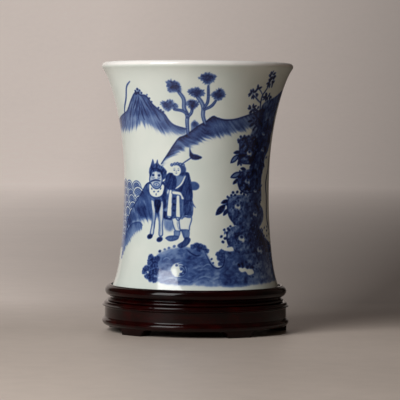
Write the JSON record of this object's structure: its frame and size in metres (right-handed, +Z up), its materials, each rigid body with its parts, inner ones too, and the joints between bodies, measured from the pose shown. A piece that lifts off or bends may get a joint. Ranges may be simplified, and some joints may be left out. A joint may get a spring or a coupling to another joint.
{
  "type": "brush holder pot",
  "caption": "Waisted porcelain brush pot with a flared mouth, standing loose in a round moulded hardwood stand.",
  "frame": {"origin": "on the pot's axis, on the plane that the stand's feet rest on", "axes": "+Z up along the axis of the pot and stand; -Y towards the painted front"},
  "size_m": [0.13, 0.13, 0.1819],
  "materials": {
    "porcelain": "clear glaze over cobalt painting",
    "hardwood": "polished lacquer on dark red-brown hardwood",
    "hardwood_inner": "oiled secondary hardwood"
  },
  "bodies": {
    "stand": {"seat_ring_arc_1": "hardwood", "seat_ring_arc_2": "hardwood", "seat_ring_arc_3": "hardwood", "seat_ring_arc_4": "hardwood", "seat_ring_arc_5": "hardwood", "seat_board": "hardwood_inner", "board_batten": "hardwood_inner", "waist_ring": "hardwood", "waist_dowels": "hardwood_inner", "apron_arc_1": "hardwood", "apron_arc_2": "hardwood", "apron_arc_3": "hardwood", "apron_arc_4": "hardwood", "apron_arc_5": "hardwood", "foot_1": "hardwood", "foot_2": "hardwood", "foot_3": "hardwood", "foot_4": "hardwood", "foot_5": "hardwood"},
    "pot": {"pot_body": "porcelain"}
  },
  "joints": [
    {"name": "pot_lift", "type": "slide", "parent": "stand", "child": "pot", "axis": [0, 0, 1], "range_m": [0, 0.06]}
  ]
}
